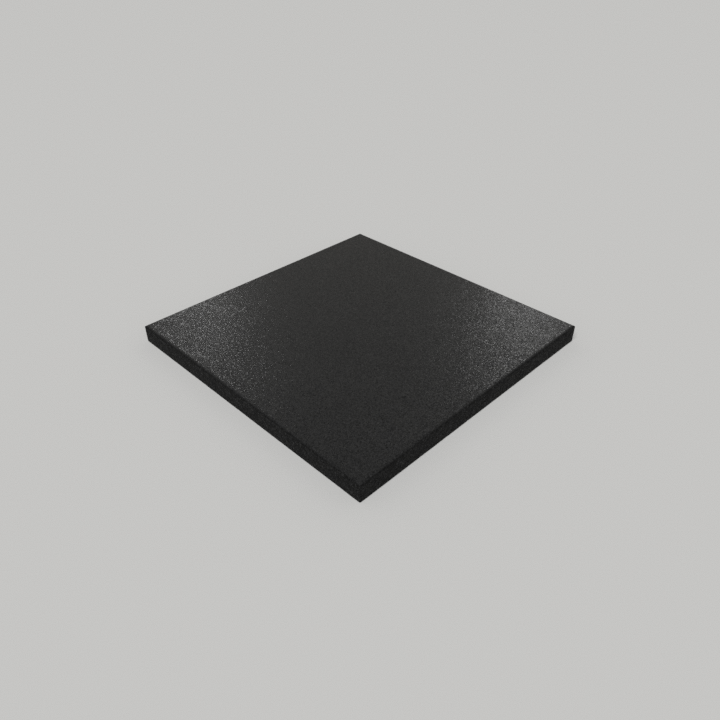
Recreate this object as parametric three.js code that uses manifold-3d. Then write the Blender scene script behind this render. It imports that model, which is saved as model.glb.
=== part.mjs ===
// A square rubber safety tile: one slab pressed from bonded rubber granules. Its top edges are rounded all
// round, so that tiles laid side by side meet in a soft V joint. The sides are plain butt faces, and the
// underside is a flat bed face whose edges are only just broken.
// Millimetres, +Z up. The origin is at the centre of the underside.
import * as THREE from "three";
import { mergeVertices } from "three/addons/utils/BufferGeometryUtils.js";
import Module from "manifold-3d";

// Overall size of the tile
const TILE_LENGTH = 500; // along X
const TILE_WIDTH = 500; // along Y
const THICKNESS = 30;

// Edges
const TOP_EDGE_RADIUS = 4; // the rounding that makes the V joint between laid tiles
const BED_EDGE_RADIUS = 1; // the broken edge round the underside
const UPRIGHT_EDGE_RADIUS = 2; // the four upright corners, seen in plan

const ARC_SEGMENTS = 8; // straight steps in each quarter round

const wasm = await Module();
wasm.setup();

// A closed three.js geometry as a manifold-3d solid. Only the positions are kept, so that the vertices that
// two faces share can merge.
function solidFrom(geometry) {
  geometry.deleteAttribute("normal");
  geometry.deleteAttribute("uv");
  const merged = mergeVertices(geometry);
  return new wasm.Manifold(
    new wasm.Mesh({
      numProp: 3,
      vertProperties: merged.getAttribute("position").array,
      triVerts: new Uint32Array(merged.getIndex().array),
    }),
  );
}

// A manifold-3d solid as a flat-shaded three.js geometry.
function geometryFrom(solid) {
  const { vertProperties, triVerts } = solid.getMesh();
  const geometry = new THREE.BufferGeometry();
  geometry.setAttribute("position", new THREE.BufferAttribute(vertProperties, 3));
  geometry.setIndex(new THREE.BufferAttribute(triVerts, 1));
  const faceted = geometry.toNonIndexed();
  faceted.computeVertexNormals();
  return faceted;
}

// A rectangle centred on x = 0 that stands on y = 0, with one radius for its lower and one for its upper
// corners.
function roundedRectangle(width, height, lowerRadius, upperRadius) {
  const half = width / 2;
  const quarter = Math.PI / 2;
  const outline = new THREE.Shape();
  outline.absarc(half - lowerRadius, lowerRadius, lowerRadius, -quarter, 0);
  outline.absarc(half - upperRadius, height - upperRadius, upperRadius, 0, quarter);
  outline.absarc(upperRadius - half, height - upperRadius, upperRadius, quarter, 2 * quarter);
  outline.absarc(lowerRadius - half, lowerRadius, lowerRadius, 2 * quarter, 3 * quarter);
  outline.closePath();
  return outline;
}

// The outline drawn out to the given length, centred on its own plane.
function drawnOut(outline, length) {
  const geometry = new THREE.ExtrudeGeometry(outline, {
    depth: length,
    bevelEnabled: false,
    curveSegments: ARC_SEGMENTS,
  });
  return geometry.translate(0, 0, -length / 2);
}

// The tile's cross-section, from the bed face up, for a side of the given length.
function crossSection(sideLength) {
  return roundedRectangle(sideLength, THICKNESS, BED_EDGE_RADIUS, TOP_EDGE_RADIUS);
}

// The section seen along Y, drawn out past both ends of the tile: it shapes the edges that run along Y.
function edgesAlongY() {
  const pastBothEnds = TILE_WIDTH + 2 * TOP_EDGE_RADIUS;
  const bar = drawnOut(crossSection(TILE_LENGTH), pastBothEnds);
  return solidFrom(bar.rotateX(Math.PI / 2));
}

// The section seen along X, drawn out past both ends of the tile: it shapes the edges that run along X.
function edgesAlongX() {
  const pastBothEnds = TILE_LENGTH + 2 * TOP_EDGE_RADIUS;
  const bar = drawnOut(crossSection(TILE_WIDTH), pastBothEnds);
  return solidFrom(bar.rotateX(Math.PI / 2).rotateZ(Math.PI / 2));
}

// The plan of the tile with its upright corners, standing past the bed face and the top face.
function planColumn() {
  const plan = roundedRectangle(TILE_LENGTH, TILE_WIDTH, UPRIGHT_EDGE_RADIUS, UPRIGHT_EDGE_RADIUS);
  const column = drawnOut(plan, 3 * THICKNESS);
  return solidFrom(column.translate(0, -TILE_WIDTH / 2, THICKNESS / 2));
}

// What the three have in common is the tile. The rounded top edges meet in a mitre at each corner.
function rubberTile() {
  const solid = edgesAlongY().intersect(edgesAlongX()).intersect(planColumn());
  const charcoalRubber = new THREE.MeshStandardMaterial({
    color: 0x2a2a29,
    roughness: 0.62,
    metalness: 0,
  });
  const mesh = new THREE.Mesh(geometryFrom(solid), charcoalRubber);
  mesh.name = "rubber_tile";
  return mesh;
}

const tile = new THREE.Group();
tile.add(rubberTile());

export default tile;
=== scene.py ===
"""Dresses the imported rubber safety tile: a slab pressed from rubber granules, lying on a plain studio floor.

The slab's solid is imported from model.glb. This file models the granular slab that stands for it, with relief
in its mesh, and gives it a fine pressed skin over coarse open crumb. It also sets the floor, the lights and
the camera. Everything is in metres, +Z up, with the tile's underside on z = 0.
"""

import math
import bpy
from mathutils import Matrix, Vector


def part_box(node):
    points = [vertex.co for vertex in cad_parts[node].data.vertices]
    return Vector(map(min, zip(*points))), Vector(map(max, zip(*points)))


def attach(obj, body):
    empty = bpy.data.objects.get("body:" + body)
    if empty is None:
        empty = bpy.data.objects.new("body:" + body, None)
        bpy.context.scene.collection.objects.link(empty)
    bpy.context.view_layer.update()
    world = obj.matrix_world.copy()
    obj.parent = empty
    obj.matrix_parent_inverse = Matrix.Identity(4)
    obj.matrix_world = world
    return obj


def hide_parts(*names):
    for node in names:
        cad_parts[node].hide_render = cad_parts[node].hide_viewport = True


bl_info = {
    "name": "Rubber Safety Tile",
    "version": (1, 0, 0),
    "blender": (4, 5, 0),
    "location": "View3D > Sidebar > Tile",
    "description": "Models a granular rubber floor tile and sets it on a studio floor",
    "category": "Object",
}

import bmesh
import bpy
from mathutils import Vector, noise

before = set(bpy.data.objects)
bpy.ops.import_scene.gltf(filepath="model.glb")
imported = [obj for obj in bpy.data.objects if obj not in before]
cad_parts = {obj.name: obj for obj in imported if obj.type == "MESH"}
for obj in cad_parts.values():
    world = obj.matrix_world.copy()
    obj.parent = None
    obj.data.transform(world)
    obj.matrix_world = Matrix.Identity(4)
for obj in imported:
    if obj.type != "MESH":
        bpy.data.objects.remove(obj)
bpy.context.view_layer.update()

TILE_NODE = "rubber_tile"
SLAB = "granular_slab"
TILE_LOW, TILE_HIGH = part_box(TILE_NODE)
HALF_LENGTH = (TILE_HIGH.x - TILE_LOW.x) / 2
HALF_WIDTH = (TILE_HIGH.y - TILE_LOW.y) / 2
TREAD_Z = TILE_HIGH.z
BED_Z = TILE_LOW.z

# Over the rounded top edge the pressed skin gives way to open crumb, between these two heights. The crumb's
# colour is darker than the skin's as painted shade, which draws a dark band along the edge
SKIN_Z = TREAD_Z - 0.0001
CRUMB_Z = TREAD_Z - 0.0014
DULL_Z = TREAD_Z - 0.0004  # faces below this have the crumb's duller material

SENSOR_WIDTH_MM = 36.0
NEAREST_SEEN = 0.01  # from the camera
AWAY = Vector((1.0, 1.0, 0.0)).normalized()  # level, along the tile's diagonal, as the camera looks
RIGHT = Vector((1.0, -1.0, 0.0)).normalized()
UP = Vector((0.0, 0.0, 1.0))

# The lights round the tile. A bearing is taken from AWAY to the right, and an elevation from level.
OVERHEAD_BEARING = math.radians(-165.0)
OVERHEAD_ELEVATION = math.radians(55.0)
OVERHEAD_SPREAD = math.radians(40.0)
LEFT_GLOW_BEARING = math.radians(-27.5)
LEFT_GLOW_ELEVATION = math.radians(28.3)
LEFT_GLOW_WIDTH = 0.13
RIGHT_GLOW_BEARING = math.radians(28.7)
RIGHT_GLOW_ELEVATION = math.radians(26.7)
RIGHT_GLOW_WIDTH = 0.28

# The sky's colours, from the lowest to the highest: each with the sine of its angle above the horizon
SKY_BANDS = (
    (0.45, (1.0, 0.965, 0.885, 1.0)),
    (0.64, (0.99, 0.99, 0.98, 1.0)),
    (0.88, (0.15, 0.15, 0.15, 1.0)),
)

FLOOR_HALF_SIZE = 30.0
FLOOR_CLEARANCE = 0.0002  # under the bed face
FLOOR_ROUGHNESS = 0.85
FLOOR_GLOSS = 0.2


# Sizes and colours that a user would change


class TileShape(bpy.types.PropertyGroup):
    """The slab's roundings, the fineness of its mesh, and the bumps in it"""

    top_edge_radius: bpy.props.FloatProperty(
        name="Top edge radius",
        description="Rounding round the tread face",
        default=0.004,
        min=0.001,
        unit="LENGTH",
    )
    bed_edge_radius: bpy.props.FloatProperty(
        name="Bed edge radius",
        description="Rounding round the underside",
        default=0.001,
        min=0.0002,
        unit="LENGTH",
    )
    upright_edge_radius: bpy.props.FloatProperty(
        name="Upright corner radius",
        description="Rounding of the four upright corners",
        default=0.002,
        min=0.0005,
        unit="LENGTH",
    )
    tread_faces: bpy.props.IntProperty(
        name="Tread faces",
        description="Faces along each side of the tread face's mesh",
        default=256,
        min=8,
    )
    bed_faces: bpy.props.IntProperty(
        name="Bed faces",
        description="Faces along each side of the underside's mesh",
        default=64,
        min=4,
    )
    bump_size: bpy.props.FloatProperty(
        name="Bump size",
        description="Spacing of the low bumps that the mesh itself shows",
        default=0.0046,
        min=0.001,
        unit="LENGTH",
    )
    skin_relief: bpy.props.FloatProperty(
        name="Skin relief",
        description="Height of the bumps on the tread face",
        default=0.00005,
        min=0.0,
        unit="LENGTH",
    )
    crumb_relief: bpy.props.FloatProperty(
        name="Crumb relief",
        description="Height of the bumps on the sides",
        default=0.00025,
        min=0.0,
        unit="LENGTH",
    )


class TileFinish(bpy.types.PropertyGroup):
    """The rubber's colour and the painted shade in its seams, the sizes of its granules, its gloss and its
    mottle
    """

    granule_colour: bpy.props.FloatVectorProperty(
        name="Granule colour",
        description="Colour of the rubber granules",
        subtype="COLOR",
        default=(0.0266, 0.0268, 0.0272),
        min=0.0,
        max=1.0,
    )
    # painted shade: this dark colour fills the seams and gaps between granules, in place of the shade that
    # falls in them
    painted_seam_shade: bpy.props.FloatVectorProperty(
        name="Seam colour",
        description="Colour deep in the seams between granules",
        subtype="COLOR",
        default=(0.005, 0.005, 0.005),
        min=0.0,
        max=1.0,
    )
    skin_granule: bpy.props.FloatProperty(
        name="Skin granule size",
        description="Spacing of the fine granules pressed flat on the tread face",
        default=0.0012,
        min=0.0005,
        unit="LENGTH",
    )
    core_granule: bpy.props.FloatProperty(
        name="Core granule size",
        description="Spacing of the coarse granules that lie open on the sides and the underside",
        default=0.0032,
        min=0.0005,
        unit="LENGTH",
    )
    skin_gloss: bpy.props.FloatProperty(
        name="Skin gloss",
        description="Strength of the reflections of the pressed skin, 0.5 as for any smooth rubber",
        default=0.5,
        min=0.0,
        max=1.0,
    )
    crumb_gloss: bpy.props.FloatProperty(
        name="Crumb gloss",
        description="Strength of the reflections of the open crumb, whose gaps trap light",
        default=0.2,
        min=0.0,
        max=1.0,
    )
    mottle_size: bpy.props.FloatProperty(
        name="Mottle size",
        description="Size of the broad patches in which the colour drifts",
        default=0.07,
        min=0.001,
        unit="LENGTH",
    )
    mottle_strength: bpy.props.FloatProperty(
        name="Mottle strength",
        description="How far the colour drifts lighter and darker, as a share of itself",
        default=0.06,
        min=0.0,
        max=1.0,
    )


class StudioSetup(bpy.types.PropertyGroup):
    """The camera's place, and the colours and strengths of the floor, the sky and the lights"""

    camera_height: bpy.props.FloatProperty(
        name="Camera height",
        description="Height of the camera above the tread face",
        default=0.5793,
        unit="LENGTH",
    )
    camera_distance: bpy.props.FloatProperty(
        name="Camera distance",
        description="Level distance from the tile's centre to the camera, along the tile's diagonal",
        default=0.8933,
        unit="LENGTH",
    )
    camera_pitch: bpy.props.FloatProperty(
        name="Camera pitch",
        description="How far the camera looks below the horizon",
        default=math.radians(36.0),
        subtype="ANGLE",
    )
    camera_lens: bpy.props.FloatProperty(
        name="Camera lens",
        description="Focal length in millimetres",
        default=32.47,
        min=1.0,
    )
    floor_colour: bpy.props.FloatVectorProperty(
        name="Floor colour",
        description="Colour of the studio floor",
        subtype="COLOR",
        default=(0.82, 0.82, 0.81),
        min=0.0,
        max=1.0,
    )
    backdrop_colour: bpy.props.FloatVectorProperty(
        name="Backdrop colour",
        description="Colour that the camera sees past the far end of the floor",
        subtype="COLOR",
        default=(0.545, 0.5425, 0.5295),
        min=0.0,
        max=1.0,
    )
    overhead_strength: bpy.props.FloatProperty(
        name="Overhead strength",
        description="Strength of the broad overhead light, in watts for each square metre",
        default=2.0,
    )
    light_distance: bpy.props.FloatProperty(
        name="Light distance",
        description="Distance from the middle of the tread face to each light",
        default=1.5,
        unit="LENGTH",
    )
    left_glow_power: bpy.props.FloatProperty(
        name="Left glow power",
        description="Power of the light whose reflection lies on the left of the tread face, in watts",
        default=0.54,
    )
    right_glow_power: bpy.props.FloatProperty(
        name="Right glow power",
        description="Power of the light whose reflection lies on the right of the tread face, in watts",
        default=0.69,
    )
    sky_strength: bpy.props.FloatProperty(
        name="Sky strength",
        description="Brightness of the even light from all round",
        default=0.257,
    )


# Node helpers


def new_group(name, inputs, outputs):
    """An empty shader node group with its named sockets, and its input and output nodes."""
    tree = bpy.data.node_groups.new(name, "ShaderNodeTree")
    for socket_name, kind, value in inputs:
        socket = tree.interface.new_socket(name=socket_name, in_out="INPUT", socket_type=kind)
        socket.default_value = value
    for socket_name, kind in outputs:
        tree.interface.new_socket(name=socket_name, in_out="OUTPUT", socket_type=kind)
    return tree, tree.nodes.new("NodeGroupInput"), tree.nodes.new("NodeGroupOutput")


def add_node(tree, kind, values=None, **settings):
    """A node with its settings, and its input sockets set by name or index: a plain value, or a link."""
    node = tree.nodes.new(kind)
    for setting, value in settings.items():
        setattr(node, setting, value)
    for key, value in (values or {}).items():
        if isinstance(value, bpy.types.NodeSocket):
            tree.links.new(value, node.inputs[key])
        else:
            node.inputs[key].default_value = value
    return node


def maths(tree, operation, *values):
    return add_node(tree, "ShaderNodeMath", dict(enumerate(values)), operation=operation).outputs["Value"]


def vector_maths(tree, operation, *vectors):
    node = add_node(tree, "ShaderNodeVectorMath", dict(enumerate(vectors)), operation=operation)
    return node.outputs["Vector"]


def scaled(tree, vector, factor):
    """A vector or a colour times one number."""
    node = add_node(tree, "ShaderNodeVectorMath", {0: vector, "Scale": factor}, operation="SCALE")
    return node.outputs["Vector"]


def object_point(tree):
    """Where a point of the surface lies, in metres from the piece's own origin."""
    return add_node(tree, "ShaderNodeTexCoord").outputs["Object"]


def remap(tree, value, low, high, to_low, to_high, kind="LINEAR"):
    sockets = {"Value": value, "From Min": low, "From Max": high, "To Min": to_low, "To Max": to_high}
    return add_node(tree, "ShaderNodeMapRange", sockets, interpolation_type=kind).outputs["Result"]


# A Mix node's sockets for each kind of value: the first, the second and the result
MIX_SOCKETS = {"FLOAT": (2, 3, 0), "VECTOR": (4, 5, 1), "RGBA": (6, 7, 2)}


def mix(tree, kind, factor, first, second):
    """A Mix node of one kind, from the first value at factor 0 to the second at factor 1."""
    first_socket, second_socket, result = MIX_SOCKETS[kind]
    sockets = {0: factor, first_socket: first, second_socket: second}
    return add_node(tree, "ShaderNodeMix", sockets, data_type=kind).outputs[result]


def place_group(tree, group, values):
    node = tree.nodes.new("ShaderNodeGroup")
    node.node_tree = group
    for key, value in values.items():
        node.inputs[key].default_value = value
    return node


# The effects that make up the rubber

FLOAT = "NodeSocketFloat"
VECTOR = "NodeSocketVector"

MIDDLE = (0.5, 0.5, 0.5)  # of a random colour's range
WANDER_PACE = 0.8  # how fast the wander changes from granule to granule
DOME_REACH = 0.6  # the square of the distance from its middle, in granules, at which a dome ends
CLOUD_LOW, CLOUD_HIGH = 0.3, 0.7  # the noise that counts as a shade of 0, and of 1


def granule_effect():
    """Packed rubber granules: each a low dome with a seam round it, and with its own tone, gloss and lean."""
    tree, given, made = new_group(
        "Packed granules",
        [("Size", FLOAT, 0.0026), ("Wander", FLOAT, 0.35), ("Seam", FLOAT, 0.2)],
        [
            ("Dome", FLOAT),
            ("Seam Mask", FLOAT),
            ("Tone", FLOAT),
            ("Stand", FLOAT),
            ("Polish", FLOAT),
            ("Lean", VECTOR),
        ],
    )
    place = object_point(tree)
    per_metre = maths(tree, "DIVIDE", 1.0, given.outputs["Size"])
    pace = maths(tree, "MULTIPLY", per_metre, WANDER_PACE)
    drift = add_node(tree, "ShaderNodeTexNoise", {"Vector": place, "Scale": pace, "Detail": 1.0})
    centred = vector_maths(tree, "SUBTRACT", drift.outputs["Color"], MIDDLE)
    reach = maths(tree, "MULTIPLY", given.outputs["Size"], given.outputs["Wander"])
    point = vector_maths(tree, "ADD", place, scaled(tree, centred, reach))

    cells = add_node(tree, "ShaderNodeTexVoronoi", {"Vector": point, "Scale": per_metre}, feature="F1")
    edges = add_node(
        tree, "ShaderNodeTexVoronoi", {"Vector": point, "Scale": per_metre}, feature="DISTANCE_TO_EDGE"
    )
    chance = add_node(tree, "ShaderNodeSeparateColor", {"Color": cells.outputs["Color"]})
    apart = maths(tree, "MULTIPLY", cells.outputs["Distance"], cells.outputs["Distance"])
    dome = remap(tree, apart, 0.0, DOME_REACH, 1.0, 0.0)
    seam = remap(tree, edges.outputs["Distance"], 0.0, given.outputs["Seam"], 1.0, 0.0, "SMOOTHSTEP")
    tree.links.new(dome, made.inputs["Dome"])
    tree.links.new(seam, made.inputs["Seam Mask"])
    tree.links.new(chance.outputs["Red"], made.inputs["Tone"])
    tree.links.new(chance.outputs["Green"], made.inputs["Stand"])
    tree.links.new(chance.outputs["Blue"], made.inputs["Polish"])
    tree.links.new(vector_maths(tree, "SUBTRACT", cells.outputs["Color"], MIDDLE), made.inputs["Lean"])
    return tree


def cloud_effect():
    """Soft random clouds of a chosen size, from 0 to 1: gaps in the crumb when small, mottle when broad."""
    inputs = [("Size", FLOAT, 0.06), ("Detail", FLOAT, 2.0)]
    tree, given, made = new_group("Clouds", inputs, [("Shade", FLOAT)])
    per_metre = maths(tree, "DIVIDE", 1.0, given.outputs["Size"])
    sockets = {"Vector": object_point(tree), "Scale": per_metre, "Detail": given.outputs["Detail"]}
    cloud = add_node(tree, "ShaderNodeTexNoise", sockets)
    shade = remap(tree, cloud.outputs["Fac"], CLOUD_LOW, CLOUD_HIGH, 0.0, 1.0)
    tree.links.new(shade, made.inputs["Shade"])
    return tree


# The rubber

# The two faces of the rubber. The skin is the fine layer pressed flat on the tread face, and the core is the
# coarse crumb that lies open on the sides and the bed. For each:
#   tones_and_shade  the darkest and the lightest granule, as a share of the granule colour; on the core both
#   are set low, as painted shade
#   seam          the width of a seam, as a share of a granule
#   seam_shade    how fully a seam takes the painted seam shade, which stands in for the shade in the seam
#   roughness     the dullest and the most polished granule
#   few_polished  the higher, the fewer granules are polished
#   dome          the height of a granule, in millimetres
#   lean          how far granules tip out of the surface
#   void          the depth of the gaps between granules, in millimetres, and how fully they take the painted seam shade
SKIN = {
    "tones_and_shade": (0.35, 1.65),
    "seam": 0.2,
    "seam_shade": 0.7,
    "roughness": (0.42, 0.06),
    "few_polished": 1.8,
    "dome": 0.06,
    "lean": 0.21,
    "void": 0.0,
}
# The core's tones are set darker than the skin's as painted shade: it stands in for the shade in the open
# crumb's cavities, and darkens the sides and the band round the top edge.
CORE = {
    "tones_and_shade": (0.2, 0.95),
    "seam": 0.18,
    "seam_shade": 1.0,
    "roughness": (1.0, 0.6),
    "few_polished": 1.0,
    "dome": 0.8,
    "lean": 0.7,
    "void": 1.0,
}


def open_mask(tree):
    """0 on the pressed tread skin, rising over the rounded edge to 1 on the sides and the bed."""
    height = add_node(tree, "ShaderNodeSeparateXYZ", {"Vector": object_point(tree)}).outputs["Z"]
    return remap(tree, height, CRUMB_Z, SKIN_Z, 1.0, 0.0, "SMOOTHSTEP")


MILLIMETRE = 0.001
LOWEST_DOME = 0.5  # as a share of the highest
GAP_SPACING = 1.3  # of the gaps between granules, in granules
GAP_DETAIL = 2.0
GAP_RIM, GAP_FLOOR = 0.72, 0.86  # the shade at which a gap begins, and at which it reaches its full depth
MOTTLE_DETAIL = 4.0


def granular_face(tree, effects, finish, size, face):
    """The colour with painted shade in its seams and gaps, and the roughness, relief and lean of one face of
    the rubber, made of granules of one size.
    """
    granule_group, cloud_group = effects
    granules = place_group(tree, granule_group, {"Size": size, "Seam": face["seam"]})
    gaps = place_group(tree, cloud_group, {"Size": size * GAP_SPACING, "Detail": GAP_DETAIL})
    sunk = remap(tree, gaps.outputs["Shade"], GAP_RIM, GAP_FLOOR, 0.0, 1.0, "SMOOTHSTEP")
    void = maths(tree, "MULTIPLY", sunk, face["void"])

    tone = remap(tree, granules.outputs["Tone"], 0.0, 1.0, *face["tones_and_shade"])
    granule = scaled(tree, tuple(finish.granule_colour), tone)
    # painted shade: seams and gaps take the dark seam colour in place of the shade that falls in them; they
    # are also made rough
    seams = maths(tree, "MULTIPLY", granules.outputs["Seam Mask"], face["seam_shade"])
    hollow = maths(tree, "MAXIMUM", seams, void)
    colour = mix(tree, "RGBA", hollow, granule, (*finish.painted_seam_shade, 1.0))

    polished = maths(tree, "POWER", granules.outputs["Polish"], face["few_polished"])
    polish = remap(tree, polished, 0.0, 1.0, *face["roughness"])
    roughness = mix(tree, "FLOAT", maths(tree, "MULTIPLY", hollow, face["void"]), polish, 1.0)

    stand = remap(tree, granules.outputs["Stand"], 0.0, 1.0, LOWEST_DOME * face["dome"], face["dome"])
    domes = maths(tree, "MULTIPLY", granules.outputs["Dome"], stand)
    relief = maths(tree, "SUBTRACT", domes, void)
    lean = scaled(tree, granules.outputs["Lean"], face["lean"])
    return colour, roughness, relief, lean


def rubber(name, effects, finish, gloss):
    """Bonded rubber: a fine skin on the tread face, and coarse crumb below it, which run into one another."""
    material = bpy.data.materials.new(name)
    material.use_nodes = True
    tree = material.node_tree
    shader = tree.nodes["Principled BSDF"]
    shader.inputs["Specular IOR Level"].default_value = gloss

    skin = granular_face(tree, effects, finish, finish.skin_granule, SKIN)
    core = granular_face(tree, effects, finish, finish.core_granule, CORE)
    opened = open_mask(tree)
    # painted shade: the core's darker colour takes over from the skin's across the rounded edge and on the
    # sides
    kinds = "RGBA", "FLOAT", "FLOAT", "VECTOR"
    colour, roughness, relief, lean = (
        mix(tree, kind, opened, fine, coarse) for kind, fine, coarse in zip(kinds, skin, core)
    )

    _, cloud_group = effects
    mottle = place_group(tree, cloud_group, {"Size": finish.mottle_size, "Detail": MOTTLE_DETAIL})
    drift = finish.mottle_strength
    broad = remap(tree, mottle.outputs["Shade"], 0.0, 1.0, 1.0 - drift, 1.0 + drift)
    tree.links.new(scaled(tree, colour, broad), shader.inputs["Base Color"])
    tree.links.new(roughness, shader.inputs["Roughness"])

    bump = add_node(tree, "ShaderNodeBump", {"Strength": 1.0, "Distance": MILLIMETRE, "Height": relief})
    leaning = vector_maths(tree, "ADD", bump.outputs["Normal"], lean)
    tree.links.new(vector_maths(tree, "NORMALIZE", leaning), shader.inputs["Normal"])
    return material


# The slab's mesh

SKIN_FACES, CRUMB_FACES = 0, 1  # the slots of the slab's two materials

FEWEST_TOP_STEPS = 3  # in the rounding of the top edge
BED_STEPS = 2  # in the rounding of the bed edge
BED_BAND = 1.5  # the width of the band between the underside's rim and its grid, in the grid's faces
BRIDGE_DROP = 0.1  # how far below its place the underside's grid is joined on
ON_BED = 0.00001  # a point nearer than this to the bed face is on it

# The bumps in the mesh. Their spacings, reach and radius are given in bump sizes.
BUMP_SEED = 7
DRIFT_SPACING = 1.7  # of the drift that makes the bumps uneven
DRIFT_REACH = 0.35
DOME_RADIUS = 0.8
SWELL_SPACING = 4.5  # of the broad swell under the bumps
SWELL_SHARE = 0.25  # how much of the depth is the swell's


def boundary_edges(bm):
    return [edge for edge in bm.edges if edge.is_boundary]


def half_sizes(inset):
    """Half the length and half the width of a rectangle that lies this far inside the slab's sides."""
    return HALF_LENGTH - inset, HALF_WIDTH - inset


def lay_grid(bm, faces, inset, height):
    """Adds a level grid with so many faces each way, and returns its points."""
    verts = bmesh.ops.create_grid(bm, x_segments=faces, y_segments=faces, size=1.0)["verts"]
    bmesh.ops.scale(bm, vec=(*half_sizes(inset), 1.0), verts=verts)
    bmesh.ops.translate(bm, vec=(0.0, 0.0, height), verts=verts)
    return verts


def add_ring(bm, inset, next_inset, drop):
    """Draws the open rim from one inset to the next, and down by drop."""
    drawn = bmesh.ops.extrude_edge_only(bm, edges=boundary_edges(bm))
    rim = [item for item in drawn["geom"] if isinstance(item, bmesh.types.BMVert)]
    stretch = [new / old for old, new in zip(half_sizes(inset), half_sizes(next_inset))]
    bmesh.ops.scale(bm, vec=(*stretch, 1.0), verts=rim)
    bmesh.ops.translate(bm, vec=(0.0, 0.0, -drop), verts=rim)


def quarter_turn(steps):
    """The angles from 0 to a quarter turn, in equal steps."""
    return [math.pi / 2 * step / steps for step in range(steps + 1)]


def rim_path(shape, pitch):
    """The edge section as (inset, height) steps, from the tread face to one pitch into the bed face."""
    top, bed = shape.top_edge_radius, shape.bed_edge_radius
    upright = TREAD_Z - BED_Z - top - bed
    top_steps = max(FEWEST_TOP_STEPS, round(top * math.pi / 2 / pitch) + 1)
    upright_steps = max(1, round(upright / pitch))
    path = [
        (top * (1 - math.sin(angle)), TREAD_Z - top * (1 - math.cos(angle)))
        for angle in quarter_turn(top_steps)
    ]
    path += [(0.0, TREAD_Z - top - upright * i / upright_steps) for i in range(1, upright_steps + 1)]
    path += [
        (bed * (1 - math.cos(angle)), BED_Z + bed * (1 - math.sin(angle)))
        for angle in quarter_turn(BED_STEPS)[1:]
    ]
    path.append((bed + pitch, BED_Z))
    return path


def round_upright_corners(bm, radius):
    """Pulls what stands outside the rounded plan in onto it."""
    for vert in bm.verts:
        over = Vector((abs(vert.co.x) - (HALF_LENGTH - radius), abs(vert.co.y) - (HALF_WIDTH - radius)))
        if over.x > 0 and over.y > 0 and over.length > radius:
            pulled = over * (radius / over.length)
            vert.co.x = math.copysign(HALF_LENGTH - radius + pulled.x, vert.co.x)
            vert.co.y = math.copysign(HALF_WIDTH - radius + pulled.y, vert.co.y)


def close_bed(bm, inset, faces):
    """Fills the underside with a coarse flat grid, joined to the dense rim by a band of its own."""
    band = BED_BAND * 2 * HALF_LENGTH / faces
    # the grid is joined on from well below, because loops in one plane can be joined the wrong way round
    bed = lay_grid(bm, faces, inset + band, BED_Z - BRIDGE_DROP)
    bmesh.ops.bridge_loops(bm, edges=boundary_edges(bm))
    bmesh.ops.translate(bm, vec=(0.0, 0.0, BRIDGE_DROP), verts=bed)


def hollow_depth(point, size):
    """How far below the tops of the bumps a point lies, from 0 to 1."""
    drift = noise.noise_vector(point / (DRIFT_SPACING * size)) * (DRIFT_REACH * size)
    distances, _ = noise.voronoi((point + drift) / size)
    dome = min(distances[0] / DOME_RADIUS, 1.0) ** 2
    swell = 0.5 - 0.5 * noise.noise(point / (SWELL_SPACING * size))
    return min(max((1.0 - SWELL_SHARE) * dome + SWELL_SHARE * swell, 0.0), 1.0)


def relief_at(height, shape):
    """The height of the bumps: low on the pressed skin, and higher on the open crumb of the sides."""
    opened = min(max((SKIN_Z - height) / (SKIN_Z - CRUMB_Z), 0.0), 1.0)
    return shape.skin_relief + opened * (shape.crumb_relief - shape.skin_relief)


def press_bumps(bm, shape):
    """Sinks the surface between its bumps. Their tops, and the flat bed, stay at the slab's own size."""
    noise.seed_set(BUMP_SEED)  # noise_vector starts somewhere else on each run unless it is seeded
    bm.normal_update()
    raised = [vert for vert in bm.verts if vert.co.z > BED_Z + ON_BED]
    sunk = [
        -vert.normal * (relief_at(vert.co.z, shape) * hollow_depth(vert.co, shape.bump_size))
        for vert in raised
    ]
    for vert, move in zip(raised, sunk):
        vert.co += move


def slab_mesh(shape):
    """The whole slab: a dense grid for the tread face, rings down its sides, and a coarser underside."""
    bm = bmesh.new()
    path = rim_path(shape, 2 * HALF_LENGTH / shape.tread_faces)
    lay_grid(bm, shape.tread_faces, *path[0])
    for (inset, height), (next_inset, next_height) in zip(path, path[1:]):
        add_ring(bm, inset, next_inset, height - next_height)
    round_upright_corners(bm, shape.upright_edge_radius)
    rim_inset, _ = path[-1]
    close_bed(bm, rim_inset, shape.bed_faces)
    bmesh.ops.recalc_face_normals(bm, faces=bm.faces)
    press_bumps(bm, shape)
    for face in bm.faces:
        face.smooth = True
        face.material_index = CRUMB_FACES if face.calc_center_median().z < DULL_Z else SKIN_FACES
    mesh = bpy.data.meshes.new(SLAB)
    bm.to_mesh(mesh)
    bm.free()
    return mesh


# Operators


class PressTile(bpy.types.Operator):
    """Model the granular slab that stands for the tile's plain solid, and give it its finishes"""

    bl_idname = "rubber_tile.press"
    bl_label = "Press Tile"
    bl_options = {"REGISTER", "UNDO"}

    def execute(self, context):
        finish = context.scene.tile_finish
        slab = bpy.data.objects.new(SLAB, slab_mesh(context.scene.tile_shape))
        context.scene.collection.objects.link(slab)
        effects = granule_effect(), cloud_effect()
        slab.data.materials.append(rubber("Pressed rubber skin", effects, finish, finish.skin_gloss))
        slab.data.materials.append(rubber("Open rubber crumb", effects, finish, finish.crumb_gloss))
        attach(slab, "root")
        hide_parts(TILE_NODE)
        return {"FINISHED"}


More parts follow.
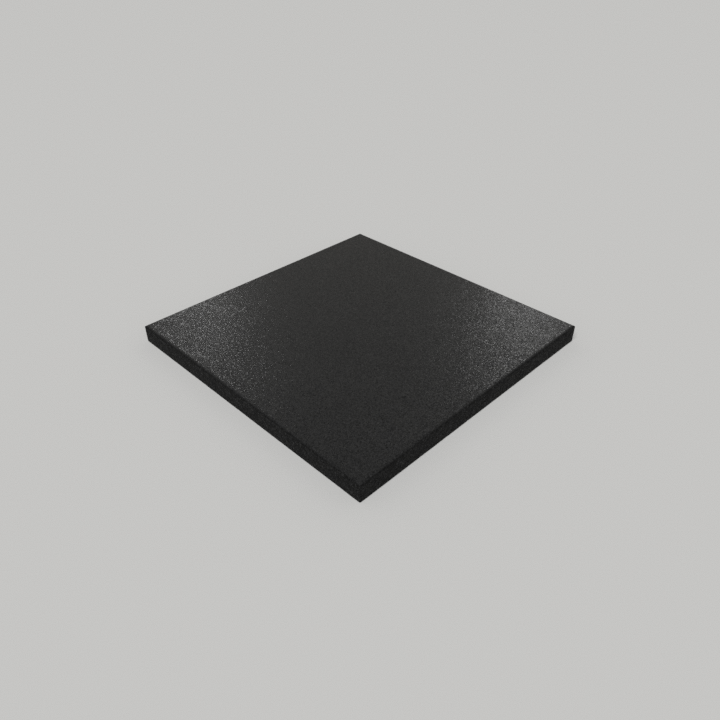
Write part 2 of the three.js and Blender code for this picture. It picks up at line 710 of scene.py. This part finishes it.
class SetCamera(bpy.types.Operator):
    """Place the camera on the tile's diagonal, at the photograph's height and pitch"""

    bl_idname = "rubber_tile.set_camera"
    bl_label = "Set Camera"
    bl_options = {"REGISTER", "UNDO"}

    def execute(self, context):
        studio = context.scene.tile_studio
        data = bpy.data.cameras.new("photo_camera")
        data.lens = studio.camera_lens
        data.sensor_width = SENSOR_WIDTH_MM
        data.clip_start = NEAREST_SEEN
        camera = bpy.data.objects.new("photo_camera", data)
        along = studio.camera_distance / math.sqrt(2)
        camera.location = (-along, -along, TREAD_Z + studio.camera_height)
        camera.rotation_euler = (math.pi / 2 - studio.camera_pitch, 0.0, -math.pi / 4)
        context.scene.collection.objects.link(camera)
        context.scene.camera = camera
        return {"FINISHED"}


def studio_sky(studio):
    """A sky that is warm low down and dim overhead. The camera itself sees a pale backdrop in its place."""
    world = bpy.data.worlds.new("Studio sky")
    world.use_nodes = True
    tree = world.node_tree
    way = add_node(tree, "ShaderNodeTexCoord").outputs["Generated"]
    height = add_node(tree, "ShaderNodeSeparateXYZ", {"Vector": way}).outputs["Z"]
    bands = add_node(tree, "ShaderNodeValToRGB", {"Fac": height})
    stops = bands.color_ramp.elements
    while len(stops) < len(SKY_BANDS):
        stops.new(1.0)
    for stop, (sine, colour) in zip(stops, SKY_BANDS):
        stop.position = sine
        stop.color = colour
    light = scaled(tree, bands.outputs["Color"], studio.sky_strength)
    seen = add_node(tree, "ShaderNodeLightPath").outputs["Is Camera Ray"]
    shown = mix(tree, "RGBA", seen, light, (*studio.backdrop_colour, 1.0))
    tree.links.new(shown, tree.nodes["Background"].inputs["Color"])
    return world


def add_light(name, kind, bearing, elevation, distance, strength):
    """A light that faces the middle of the tread face, from a bearing, an elevation and a distance."""
    light = bpy.data.objects.new(name, bpy.data.lights.new(name, kind))
    light.data.energy = strength
    level = AWAY * math.cos(bearing) + RIGHT * math.sin(bearing)
    outward = level * math.cos(elevation) + UP * math.sin(elevation)
    light.location = Vector((0.0, 0.0, TREAD_Z)) + distance * outward
    light.rotation_euler = (-outward).to_track_quat("-Z", "Y").to_euler()
    bpy.context.scene.collection.objects.link(light)
    return light


def add_overhead_light(strength, distance):
    """A broad soft light from over the camera's left shoulder, as even over the floor as over the tile."""
    light = add_light("overhead_light", "SUN", OVERHEAD_BEARING, OVERHEAD_ELEVATION, distance, strength)
    light.data.angle = OVERHEAD_SPREAD


def add_glow(name, bearing, elevation, width, distance, power, receivers):
    """A small softbox beyond the tile, reflected in the tread face. It lights only its receivers."""
    light = add_light(name, "AREA", bearing, elevation, distance, power)
    light.data.shape = "DISK"
    light.data.size = width
    light.visible_camera = False
    light.light_linking.receiver_collection = receivers


def add_both_glows(studio):
    """The two softboxes, which light the slab and leave the floor plain."""
    receivers = bpy.data.collections.new("lit_by_the_glows")
    receivers.objects.link(bpy.data.objects[SLAB])
    left = LEFT_GLOW_BEARING, LEFT_GLOW_ELEVATION, LEFT_GLOW_WIDTH
    right = RIGHT_GLOW_BEARING, RIGHT_GLOW_ELEVATION, RIGHT_GLOW_WIDTH
    add_glow("left_glow", *left, studio.light_distance, studio.left_glow_power, receivers)
    add_glow("right_glow", *right, studio.light_distance, studio.right_glow_power, receivers)


def floor_paint(colour):
    """Plain matt paint."""
    paint = bpy.data.materials.new("Studio floor paint")
    paint.use_nodes = True
    shader = paint.node_tree.nodes["Principled BSDF"]
    shader.inputs["Base Color"].default_value = (*colour, 1.0)
    shader.inputs["Roughness"].default_value = FLOOR_ROUGHNESS
    shader.inputs["Specular IOR Level"].default_value = FLOOR_GLOSS
    return paint


def lay_floor(colour):
    """A wide level floor, just under the tile."""
    bm = bmesh.new()
    bmesh.ops.create_grid(bm, x_segments=1, y_segments=1, size=FLOOR_HALF_SIZE)
    mesh = bpy.data.meshes.new("studio_floor")
    bm.to_mesh(mesh)
    bm.free()
    mesh.materials.append(floor_paint(colour))
    floor = bpy.data.objects.new("studio_floor", mesh)
    floor.location.z = BED_Z - FLOOR_CLEARANCE
    bpy.context.scene.collection.objects.link(floor)
    return floor


class SetStudio(bpy.types.Operator):
    """Lay the studio floor, and set the sky, the overhead light and the two glows on the tread face"""

    bl_idname = "rubber_tile.set_studio"
    bl_label = "Set Studio"
    bl_options = {"REGISTER", "UNDO"}

    def execute(self, context):
        scene = context.scene
        studio = scene.tile_studio
        lay_floor(studio.floor_colour)
        scene.world = studio_sky(studio)
        add_overhead_light(studio.overhead_strength, studio.light_distance)
        add_both_glows(studio)
        scene.view_settings.view_transform = "Standard"
        # the denoiser takes the rubber's fine sparkle for noise and wipes it off
        scene.cycles.use_denoising = False
        return {"FINISHED"}


class TilePanel(bpy.types.Panel):
    """Sidebar panel with the tile's steps and sizes"""

    bl_idname = "VIEW3D_PT_rubber_tile"
    bl_label = "Rubber Safety Tile"
    bl_space_type = "VIEW_3D"
    bl_region_type = "UI"
    bl_category = "Tile"

    def draw(self, context):
        for step in STEPS:
            self.layout.operator(step.bl_idname)
        for group in (context.scene.tile_shape, context.scene.tile_finish, context.scene.tile_studio):
            box = self.layout.box()
            for name in group.__annotations__:
                box.prop(group, name)


STEPS = (SetCamera, PressTile, SetStudio)
CLASSES = (TileShape, TileFinish, StudioSetup, *STEPS, TilePanel)


def register():
    for cls in CLASSES:
        bpy.utils.register_class(cls)
    bpy.types.Scene.tile_shape = bpy.props.PointerProperty(type=TileShape)
    bpy.types.Scene.tile_finish = bpy.props.PointerProperty(type=TileFinish)
    bpy.types.Scene.tile_studio = bpy.props.PointerProperty(type=StudioSetup)


def unregister():
    del bpy.types.Scene.tile_studio
    del bpy.types.Scene.tile_finish
    del bpy.types.Scene.tile_shape
    for cls in reversed(CLASSES):
        bpy.utils.unregister_class(cls)


def main():
    register()
    bpy.ops.rubber_tile.set_camera()
    bpy.ops.rubber_tile.press()
    bpy.ops.rubber_tile.set_studio()


if __name__ == "__main__":
    main()
